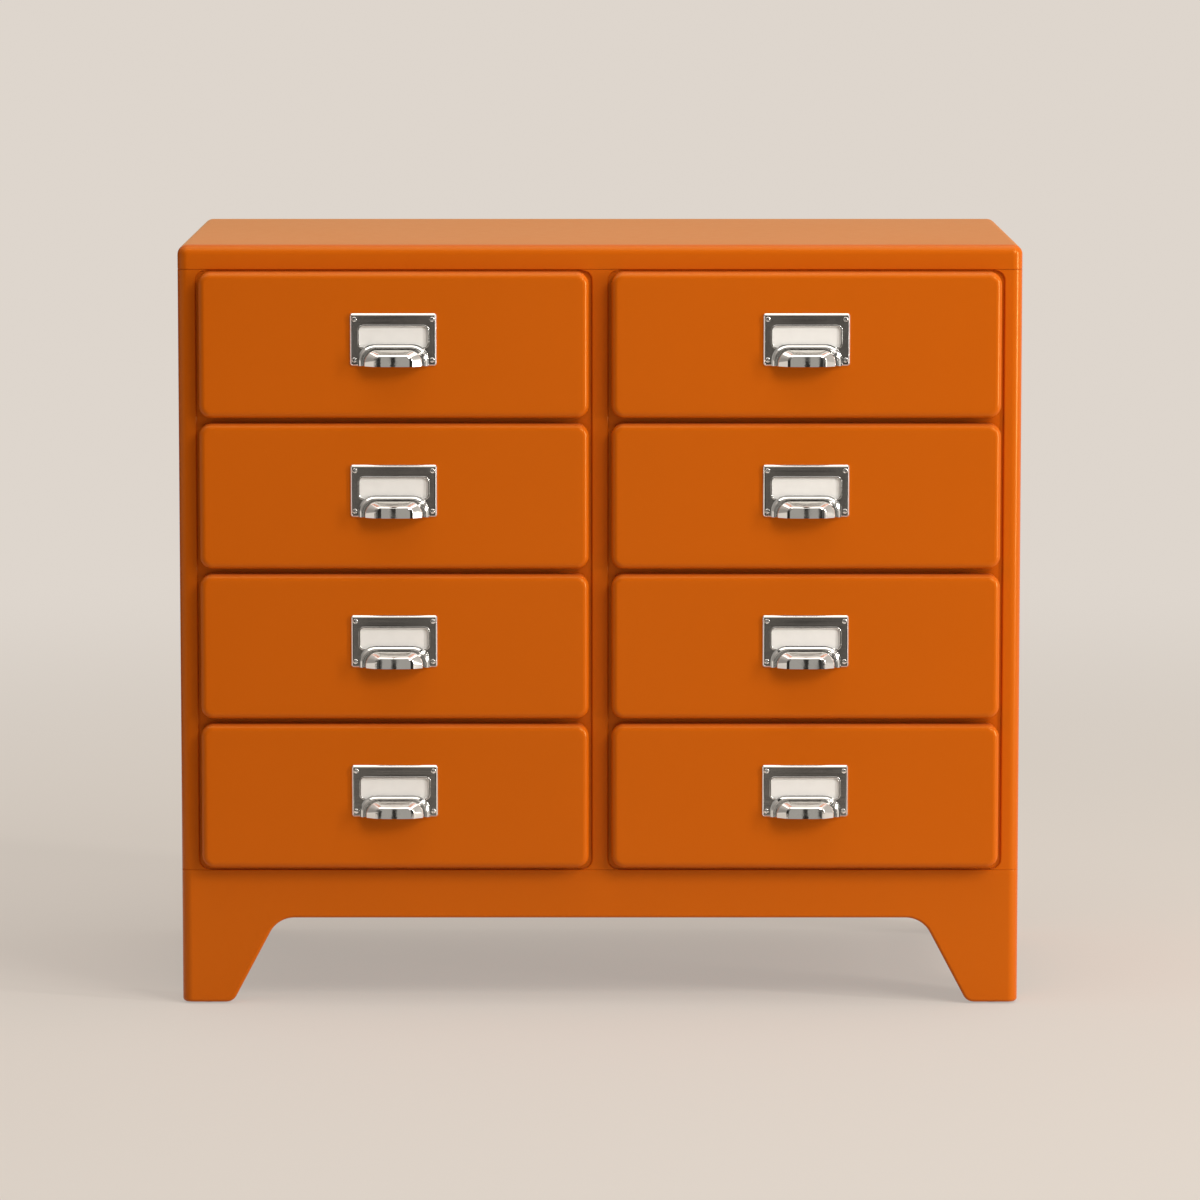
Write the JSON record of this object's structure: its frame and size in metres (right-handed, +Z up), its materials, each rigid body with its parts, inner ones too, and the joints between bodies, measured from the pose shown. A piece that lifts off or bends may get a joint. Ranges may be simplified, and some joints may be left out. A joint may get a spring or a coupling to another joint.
{
  "type": "archive cabinet",
  "caption": "Floor-standing orange sheet-steel archive cabinet with side-by-side columns of sliding drawers, chromed cup pulls with label windows, a rounded lid and splayed legs.",
  "frame": {"origin": "on the floor, in the middle of the plan of the closed cabinet with its pulls", "axes": "+X to the right seen from the front, +Y to the back, +Z up; the drawers open towards -Y"},
  "size_m": [0.75, 0.429, 0.682],
  "materials": {
    "orange_paint": "satin powder coat",
    "chrome": "polished chrome plate",
    "label_card": "matte card",
    "zinc_steel": "zinc-plated steel",
    "black_nylon": "moulded nylon"
  },
  "bodies": {
    "carcass": {"top_lid": "orange_paint", "left_side_panel": "orange_paint", "right_side_panel": "orange_paint", "centre_mullion": "orange_paint", "back_panel": "orange_paint", "floor_pan": "orange_paint", "centre_partition": "orange_paint", "cross_rails": "orange_paint", "drawer_runners": "zinc_steel", "leg_base": "orange_paint", "glides": "black_nylon", "carcass_bolts": "zinc_steel"},
    "drawer_left_1": {"drawer_front_left_1": "orange_paint", "drawer_box_left_1": "orange_paint", "pull_plate_left_1": "chrome", "pull_cup_left_1": "chrome", "label_card_left_1": "label_card", "pull_screws_left_1": "chrome"},
    "drawer_left_2": {"drawer_front_left_2": "orange_paint", "drawer_box_left_2": "orange_paint", "pull_plate_left_2": "chrome", "pull_cup_left_2": "chrome", "label_card_left_2": "label_card", "pull_screws_left_2": "chrome"},
    "drawer_left_3": {"drawer_front_left_3": "orange_paint", "drawer_box_left_3": "orange_paint", "pull_plate_left_3": "chrome", "pull_cup_left_3": "chrome", "label_card_left_3": "label_card", "pull_screws_left_3": "chrome"},
    "drawer_left_4": {"drawer_front_left_4": "orange_paint", "drawer_box_left_4": "orange_paint", "pull_plate_left_4": "chrome", "pull_cup_left_4": "chrome", "label_card_left_4": "label_card", "pull_screws_left_4": "chrome"},
    "drawer_right_1": {"drawer_front_right_1": "orange_paint", "drawer_box_right_1": "orange_paint", "pull_plate_right_1": "chrome", "pull_cup_right_1": "chrome", "label_card_right_1": "label_card", "pull_screws_right_1": "chrome"},
    "drawer_right_2": {"drawer_front_right_2": "orange_paint", "drawer_box_right_2": "orange_paint", "pull_plate_right_2": "chrome", "pull_cup_right_2": "chrome", "label_card_right_2": "label_card", "pull_screws_right_2": "chrome"},
    "drawer_right_3": {"drawer_front_right_3": "orange_paint", "drawer_box_right_3": "orange_paint", "pull_plate_right_3": "chrome", "pull_cup_right_3": "chrome", "label_card_right_3": "label_card", "pull_screws_right_3": "chrome"},
    "drawer_right_4": {"drawer_front_right_4": "orange_paint", "drawer_box_right_4": "orange_paint", "pull_plate_right_4": "chrome", "pull_cup_right_4": "chrome", "label_card_right_4": "label_card", "pull_screws_right_4": "chrome"}
  },
  "joints": [
    {"name": "drawer_left_1_slide", "type": "slide", "parent": "carcass", "child": "drawer_left_1", "axis": [0, -1, 0], "range_m": [0, 0.289]},
    {"name": "drawer_left_2_slide", "type": "slide", "parent": "carcass", "child": "drawer_left_2", "axis": [0, -1, 0], "range_m": [0, 0.289]},
    {"name": "drawer_left_3_slide", "type": "slide", "parent": "carcass", "child": "drawer_left_3", "axis": [0, -1, 0], "range_m": [0, 0.289]},
    {"name": "drawer_left_4_slide", "type": "slide", "parent": "carcass", "child": "drawer_left_4", "axis": [0, -1, 0], "range_m": [0, 0.289]},
    {"name": "drawer_right_1_slide", "type": "slide", "parent": "carcass", "child": "drawer_right_1", "axis": [0, -1, 0], "range_m": [0, 0.289]},
    {"name": "drawer_right_2_slide", "type": "slide", "parent": "carcass", "child": "drawer_right_2", "axis": [0, -1, 0], "range_m": [0, 0.289]},
    {"name": "drawer_right_3_slide", "type": "slide", "parent": "carcass", "child": "drawer_right_3", "axis": [0, -1, 0], "range_m": [0, 0.289]},
    {"name": "drawer_right_4_slide", "type": "slide", "parent": "carcass", "child": "drawer_right_4", "axis": [0, -1, 0], "range_m": [0, 0.289]}
  ]
}
